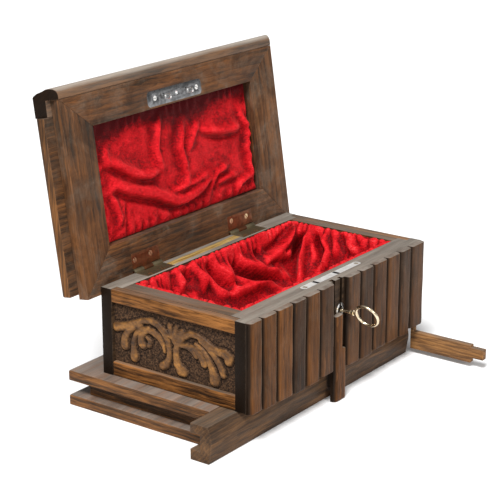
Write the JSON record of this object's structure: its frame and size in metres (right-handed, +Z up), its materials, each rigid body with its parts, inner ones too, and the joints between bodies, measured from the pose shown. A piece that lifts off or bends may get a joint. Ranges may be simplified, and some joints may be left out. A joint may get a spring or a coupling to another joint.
{
  "type": "secret puzzle box",
  "caption": "Wooden puzzle box with a hinged lid, velvet lining, slatted front with a sliding slat over the keyhole, a sliding moulding and a side bar in its base.",
  "frame": {"origin": "centre of the underside of the base's lower board", "axes": "+Z up, +X to the right along the slatted front, +Y to the back; the slatted front faces -Y"},
  "size_m": [0.2629, 0.2142, 0.2214],
  "materials": {
    "walnut_wood": "dark walnut stain, satin, worn edges",
    "light_wood": "lighter brown, thin stain",
    "carved_wood": "dark stained carving, satin",
    "red_velvet": "crushed velvet",
    "nickel_steel": "nickelled, lightly worn",
    "aged_brass": "antiqued, coppery brown",
    "bright_brass": "polished"
  },
  "bodies": {
    "casing": {"case_front": "walnut_wood", "case_back": "walnut_wood", "case_left": "walnut_wood", "case_right": "walnut_wood", "case_floor": "light_wood", "end_top_rail_left": "walnut_wood", "end_bottom_rail_left": "walnut_wood", "carved_panel_left": "carved_wood", "end_top_rail_right": "walnut_wood", "end_bottom_rail_right": "walnut_wood", "carved_panel_right": "carved_wood", "body_lining": "red_velvet", "slat_01": "walnut_wood", "slat_02": "walnut_wood", "slat_03": "walnut_wood", "slat_04": "walnut_wood", "slat_05": "walnut_wood", "slat_06": "walnut_wood", "slat_08": "walnut_wood", "slat_09": "walnut_wood", "slat_10": "walnut_wood", "slat_11": "walnut_wood", "slat_12": "walnut_wood", "slat_13": "walnut_wood", "lock_case": "nickel_steel", "lock_plate": "nickel_steel", "lock_screws": "bright_brass", "escutcheon": "bright_brass", "hinge_body_leaf_left": "aged_brass", "hinge_body_leaf_right": "aged_brass", "hinge_pins": "aged_brass", "hinge_body_screws": "bright_brass", "base_top_board": "walnut_wood", "base_bottom_board": "walnut_wood", "base_core": "light_wood", "base_rail_right_front": "light_wood", "base_rail_right_rear": "light_wood", "front_tongue": "light_wood"},
    "lid": {"lid_board": "walnut_wood", "lid_frame_left": "walnut_wood", "lid_frame_right": "walnut_wood", "lid_frame_front": "walnut_wood", "lid_frame_back": "walnut_wood", "lid_front_rail": "walnut_wood", "lid_lining": "red_velvet", "strike_plate": "nickel_steel", "strike_screws": "bright_brass", "hinge_lid_leaf_left": "aged_brass", "hinge_lid_leaf_right": "aged_brass", "hinge_lid_screws": "bright_brass"},
    "moulding": {"front_moulding": "walnut_wood"},
    "side_bar": {"side_bar": "light_wood"},
    "secret_slat": {"secret_slat": "walnut_wood"},
    "key": {"key": "bright_brass"},
    "bolt": {"lock_bolt": "nickel_steel"}
  },
  "joints": [
    {"name": "lid_hinge", "type": "hinge", "parent": "casing", "child": "lid", "pos_m": [0, 0.0394, 0.08755], "axis": [1, 0, 0], "range_deg": [0, 98.3]},
    {"name": "moulding_slide", "type": "slide", "parent": "casing", "child": "moulding", "axis": [1, 0, 0], "range_m": [0, 0.0204]},
    {"name": "bar_slide", "type": "slide", "parent": "casing", "child": "side_bar", "axis": [0, 1, 0], "range_m": [0, 0.0715]},
    {"name": "slat_slide", "type": "slide", "parent": "casing", "child": "secret_slat", "axis": [0, 0, 1], "range_m": [0, 0.0245]},
    {"name": "key_turn", "type": "hinge", "parent": "casing", "child": "key", "pos_m": [0.0008, -0.082, 0.0642], "axis": [0, 1, 0], "range_deg": [0, 90]},
    {"name": "bolt_throw", "type": "slide", "parent": "casing", "child": "bolt", "axis": [1, 0, 0], "range_m": [0, 0.006]}
  ],
  "couplings": [
    {"joint": "key_turn", "follows": "bolt_throw", "rad_per_m": 261.79}
  ]
}
